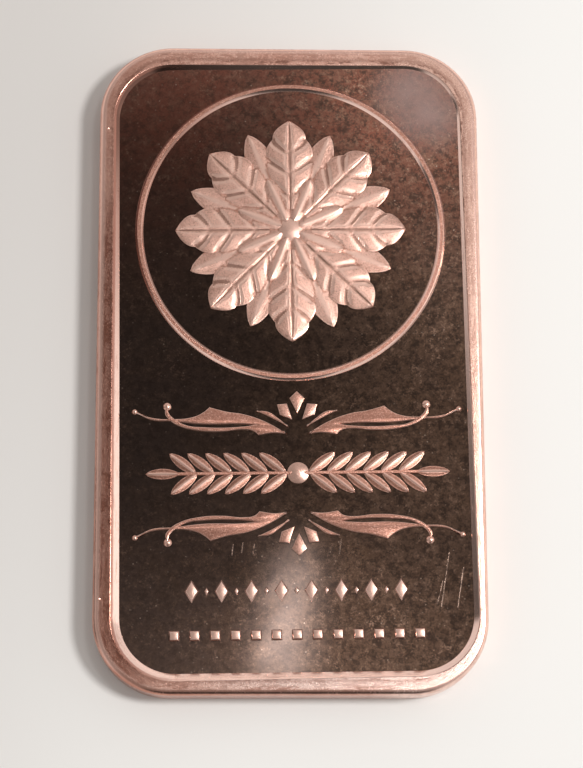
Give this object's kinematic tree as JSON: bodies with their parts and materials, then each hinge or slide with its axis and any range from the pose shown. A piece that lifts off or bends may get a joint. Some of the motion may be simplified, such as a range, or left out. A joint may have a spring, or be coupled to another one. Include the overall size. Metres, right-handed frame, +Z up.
{
  "type": "copper ingot",
  "caption": "Small flat rectangular copper bullion bar with rounded corners, a raised rim, a sunken mirror field and struck leaf and scroll relief.",
  "frame": {"origin": "centre of the back face, on the surface that the bar lies on", "axes": "+Z up out of the struck front, +Y along the bar towards the top of the design, +X to the right of the design"},
  "size_m": [0.029, 0.05, 0.0027],
  "materials": {
    "copper": "struck copper: toned mirror field, frosted relief, worn satin rim"
  },
  "bodies": {
    "root": {"copper_ingot": "copper"}
  },
  "joints": []
}
